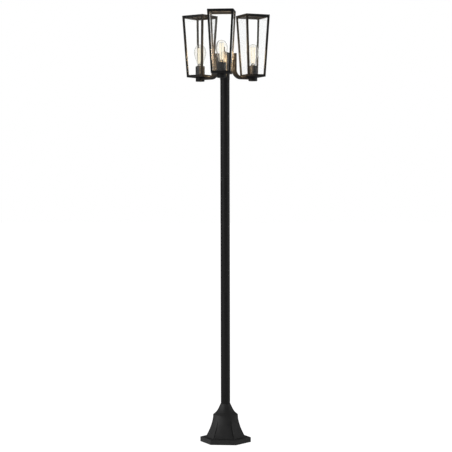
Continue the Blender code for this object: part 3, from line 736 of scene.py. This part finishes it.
def cap_mesh():
    """Screw cap with rounded thread ridges, and its centre contact."""
    low = local_z(CAP_LOW.z)
    top = local_z(BULB_LOW.z) - 0.0006
    crest, root = 0.0131, 0.0122
    profile = [(0.0, low), (0.0045, low), (0.0052, low + 0.0008), (0.0095, low + 0.0030)]
    profile += [(root, low + 0.0070)]
    thread_low, pitch, turns = low + 0.0075, 0.0036, 5
    for i in range(turns * 8 + 1):
        z = thread_low + pitch * i / 8
        if z > top - 0.003:
            break
        profile.append((root + (crest - root) * (0.5 - 0.5 * math.cos(2 * math.pi * i / 8)), z))
    profile += [(root, top - 0.0028), (crest - 0.0002, top - 0.0020), (crest, top - 0.0008)]
    profile += [(crest - 0.0004, top), (0.0030, top), (0.0, top)]
    return finish_mesh(turned(profile, 72, closed=False), "cap_mesh", math.radians(50))


def stem_mesh():
    """The glass stem inside the bulb: flared foot, neck and bead."""
    foot = local_z(BULB_LOW.z)
    profile = [(0.0, foot), (0.0125, foot), (0.0128, foot + 0.0008), (0.0090, foot + 0.0035)]
    profile += [(0.0058, foot + 0.0075), (0.0042, foot + 0.010), (0.0040, foot + 0.012)]
    profile += [(0.0050, foot + 0.014), (0.0040, foot + 0.0165), (0.0022, foot + 0.0185)]
    profile += [(0.0, foot + 0.0190)]
    return finish_mesh(turned(profile, 40, closed=False), "stem_mesh", math.radians(60))


def filament_mesh():
    foot = local_z(BULB_LOW.z)
    bm = bmesh.new()
    for i in range(FILAMENTS):
        turn = 2 * math.pi * (i + 0.5) / FILAMENTS
        reach = Vector((math.cos(turn), math.sin(turn), 0))
        low, high = Vector((0, 0, foot + FILAMENT_LOW)), Vector((0, 0, foot + FILAMENT_HIGH))
        stick(bm, reach * FILAMENT_FOOT_R + low, reach * FILAMENT_TOP_R + high, FILAMENT_R)
    return finish_mesh(bm, "filament_mesh", math.radians(60))


def wire_mesh():
    """Support wires from the stem to the ends of the filaments."""
    foot = local_z(BULB_LOW.z)
    bm = bmesh.new()
    for i in range(FILAMENTS):
        turn = 2 * math.pi * (i + 0.5) / FILAMENTS
        reach = Vector((math.cos(turn), math.sin(turn), 0))
        low, high = Vector((0, 0, foot + FILAMENT_LOW)), Vector((0, 0, foot + FILAMENT_HIGH))
        hook = Vector((0, 0, foot + FILAMENT_HIGH + 0.003))
        stick(bm, reach * 0.0030 + low, reach * FILAMENT_FOOT_R + low, WIRE_R, 6)
        stick(bm, hook, reach * FILAMENT_TOP_R + high, WIRE_R, 6)
    stick(bm, (0, 0, foot + 0.017), (0, 0, foot + FILAMENT_HIGH + 0.0032), 0.0005, 8)
    return finish_mesh(bm, "wire_mesh", math.radians(60))


def lamp_light(number, parent):
    """The light the bulb gives; it moves with the bulb."""
    for share, power in ((0.30, 0.5), (0.56, 0.5)):
        data = bpy.data.lights.new(f"bulb_light_{number}", "POINT")
        data.energy = BULB_POWER[number - 1] * power
        data.color = BULB_COLOR
        data.shadow_soft_size = 0.009
        made = bpy.data.objects.new(f"bulb_light_{number}", data)
        bpy.context.scene.collection.objects.link(made)
        height = local_z(BULB_LOW.z) + share * (BULB_HIGH.z - BULB_LOW.z)
        made.location = lantern_matrix(number) @ Vector((0, 0, height))
        made.parent = parent
        made.light_linking.receiver_collection = LIT_BY_BULBS


def lantern_pieces(number, cup, cover, holder):
    """Cup, cover, lampholder, frame, bottom plate, lid and panes of one lantern."""
    where = lantern_matrix(number)
    black = "black_coat"
    piece(f"cup_{number}", placed(cup, where), COAT, "head", black, f"arm_cup_{number}")
    piece(f"cover_{number}", placed(cover, where), COAT, "head", black, f"holder_cover_{number}")
    socket = placed(holder, where)
    piece(f"socket_{number}", socket, PLASTIC, "head", "black_plastic", f"lampholder_{number}")
    frame_mesh = softened(f"lantern_frame_{number}", 0.0007)
    piece(f"glazing_frame_{number}", frame_mesh, COAT, "head", black, f"lantern_frame_{number}")
    plate_mesh = softened(f"bottom_plate_{number}", 0.0005)
    piece(f"floor_plate_{number}", plate_mesh, COAT, "head", black, f"bottom_plate_{number}")
    lid_mesh = softened(f"roof_lid_{number}", 0.0005)
    piece(f"lid_{number}", lid_mesh, COAT, f"lid_{number}", black, f"roof_lid_{number}")
    for side in ("outer", "right", "inner", "left"):
        node = f"glass_{side}_{number}"
        sheet = softened(node, 0.0004, 1)
        pane = piece(f"pane_{side}_{number}", sheet, PANE, "head", "clear_glass", node)
        pane.visible_shadow = False


def bulb_pieces(number, envelope, cap, stem, filament, wires):
    """Envelope, cap, glass stem, filaments and wires of one bulb, and its light."""
    where = lantern_matrix(number)
    body = f"bulb_{number}"
    bulb = piece(f"bulb_envelope_{number}", placed(envelope, where), BULB_GLASS, body, "clear_glass",
                 f"bulb_glass_{number}")
    piece(f"bulb_cap_metal_{number}", placed(cap, where), BRASS, body, "cap_brass",
          f"bulb_cap_{number}")
    inner = piece(f"bulb_stem_{number}", placed(stem, where), BULB_GLASS, body, "clear_glass")
    lit = piece(f"bulb_filament_{number}", placed(filament, where), FILAMENT, body, "cap_brass")
    wire = piece(f"bulb_wires_{number}", placed(wires, where), STEEL, body, "cap_brass")
    for made in (bulb, inner, lit, wire):
        made.visible_shadow = False
    lamp_light(number, lit)


def lanterns():
    fittings = (cup_mesh(), cover_mesh(), holder_mesh())
    bulb = (envelope_mesh(), cap_mesh(), stem_mesh(), filament_mesh(), wire_mesh())
    for number in LANTERNS:
        lantern_pieces(number, *fittings)
        bulb_pieces(number, *bulb)


def link_lights():
    """The bulbs light everything but glass, filaments and caps, which would show as hot spots. The box
    at the side lights the base alone, so that no pane mirrors it."""
    for made in bpy.context.scene.objects:
        if made.type == "MESH" and made.visible_shadow and not made.name.startswith("bulb_cap_metal"):
            LIT_BY_BULBS.objects.link(made)
        if made.name in ("bell_base", "collar_cone"):
            LIT_FROM_SIDE.objects.link(made)


# ---- studio ----

def camera():
    azimuth = math.radians(CAMERA_AZIMUTH)
    toward = azimuth + math.radians(CAMERA_YAW)
    pitch, roll = math.radians(CAMERA_PITCH), math.radians(CAMERA_ROLL)
    level = Vector((-math.sin(toward), math.cos(toward), 0))
    right = Vector((math.cos(toward), math.sin(toward), 0))
    ahead = level * math.cos(pitch) + Vector((0, 0, math.sin(pitch)))
    up = -level * math.sin(pitch) + Vector((0, 0, math.cos(pitch)))
    side = right * math.cos(roll) - up * math.sin(roll)
    top = right * math.sin(roll) + up * math.cos(roll)
    data = bpy.data.cameras.new("camera")
    data.lens = LENS
    data.sensor_width = 36.0
    made = bpy.data.objects.new("camera", data)
    turn = Matrix((side, top, -ahead)).transposed().to_4x4()
    place = Vector((math.sin(azimuth), -math.cos(azimuth), 0)) * CAMERA_DISTANCE
    place.z = CAMERA_HEIGHT
    made.matrix_world = Matrix.Translation(place) @ turn
    bpy.context.scene.collection.objects.link(made)
    bpy.context.scene.camera = made


def soft_light(name, place, target, size, power, receivers=None):
    data = bpy.data.lights.new(name, "AREA")
    data.shape = "RECTANGLE"
    data.size, data.size_y = size
    data.energy = power
    made = bpy.data.objects.new(name, data)
    made.location = place
    made.rotation_euler = (Vector(target) - Vector(place)).to_track_quat("-Z", "Y").to_euler()
    if receivers is not None:
        made.light_linking.receiver_collection = receivers
    bpy.context.scene.collection.objects.link(made)


def through_glass(tree, path):
    """1 for a view straight through glass; THROUGH_LEFT for light through it onto another surface."""
    share = tree.nodes.new("ShaderNodeMapRange")
    share.inputs["To Min"].default_value = 1.0
    share.inputs["To Max"].default_value = THROUGH_LEFT
    depth = tree.nodes.new("ShaderNodeMath")
    depth.operation = "ADD"
    tree.links.new(path.outputs["Diffuse Depth"], depth.inputs[0])
    tree.links.new(path.outputs["Glossy Depth"], depth.inputs[1])
    tree.links.new(depth.outputs["Value"], share.inputs["Value"])
    made = tree.nodes.new("ShaderNodeMath")
    made.operation = "MULTIPLY"
    tree.links.new(path.outputs["Is Transmission Ray"], made.inputs[0])
    tree.links.new(share.outputs["Result"], made.inputs[1])
    return made.outputs["Value"]


def studio():
    """White backdrop, a room darker in front of the lamp than behind it, and three soft boxes."""
    world = bpy.data.worlds.new("studio")
    bpy.context.scene.world = world
    world.use_nodes = True
    tree = world.node_tree
    shade = tree.nodes["Background"]
    seen = tree.nodes.new("ShaderNodeBackground")
    seen.inputs["Color"].default_value = (1, 1, 1, 1)
    direction = tree.nodes.new("ShaderNodeTexCoord").outputs["Generated"]
    parts = tree.nodes.new("ShaderNodeSeparateXYZ")
    tree.links.new(direction, parts.inputs["Vector"])
    depth = tree.nodes.new("ShaderNodeMapRange")
    depth.inputs["From Min"].default_value = -0.2
    depth.inputs["From Max"].default_value = 0.7
    depth.inputs["To Min"].default_value = ROOM_FRONT
    depth.inputs["To Max"].default_value = ROOM_BACK
    tree.links.new(parts.outputs["Y"], depth.inputs["Value"])
    tree.links.new(depth.outputs["Result"], shade.inputs["Strength"])
    shade.inputs["Color"].default_value = (1, 1, 1, 1)
    path = tree.nodes.new("ShaderNodeLightPath")
    direct = tree.nodes.new("ShaderNodeMath")
    direct.operation = "MAXIMUM"
    white = tree.nodes.new("ShaderNodeMapRange")
    white.inputs["To Min"].default_value = WHITE
    white.inputs["To Max"].default_value = BEHIND_GLASS
    tree.links.new(path.outputs["Is Transmission Ray"], white.inputs["Value"])
    tree.links.new(white.outputs["Result"], seen.inputs["Strength"])
    tree.links.new(path.outputs["Is Camera Ray"], direct.inputs[0])
    tree.links.new(through_glass(tree, path), direct.inputs[1])
    mix = tree.nodes.new("ShaderNodeMixShader")
    tree.links.new(direct.outputs["Value"], mix.inputs["Fac"])
    tree.links.new(shade.outputs["Background"], mix.inputs[1])
    tree.links.new(seen.outputs["Background"], mix.inputs[2])
    tree.links.new(mix.outputs["Shader"], tree.nodes["World Output"].inputs["Surface"])
    soft_light("left_box", (-3.2, -3.0, 2.6), (0, 0, 1.2), (1.6, 3.0), LEFT_POWER)
    soft_light("side_box", (-2.5, -1.1, 0.55), (0, 0, 0.3), (0.8, 1.4), SIDE_POWER, LIT_FROM_SIDE)
    soft_light("right_box", (3.6, 0.4, 2.0), (0, 0, 1.3), (1.2, 3.0), RIGHT_POWER)
    bpy.context.scene.view_settings.view_transform = "Standard"


def floor():
    look = Nodes("pale_floor")
    stops = [(0.3, (0.86, 0.86, 0.86)), (0.7, (0.89, 0.89, 0.89))]
    look.join(look.ramp(look.noise(6.0), stops), "Base Color")
    look.set(Roughness=0.9, Emission_Color=(1, 1, 1, 1))
    path = look.tree.nodes.new("ShaderNodeLightPath")
    seen = look.tree.nodes.new("ShaderNodeMath")
    seen.operation = "MAXIMUM"
    look.tree.links.new(path.outputs["Is Camera Ray"], seen.inputs[0])
    look.tree.links.new(through_glass(look.tree, path), seen.inputs[1])
    glow = look.tree.nodes.new("ShaderNodeMapRange")
    glow.inputs["To Min"].default_value = FLOOR_GLOW
    glow.inputs["To Max"].default_value = FLOOR_SEEN
    look.tree.links.new(seen.outputs["Value"], glow.inputs["Value"])
    look.join(glow.outputs["Result"], "Emission Strength")
    bm = bmesh.new()
    bmesh.ops.create_grid(bm, x_segments=1, y_segments=1, size=60.0)
    mesh = mesh_from(bm, "floor")
    mesh.materials.append(look.material)
    made = bpy.data.objects.new("floor", mesh)
    made.location.z = CAD_BOX[0][2] - 0.0005
    bpy.context.scene.collection.objects.link(made)


camera()
dress_frame()
bell()
collar()
poles()
column()
lugs()
finial()
arms()
lanterns()
studio()
floor()
link_lights()
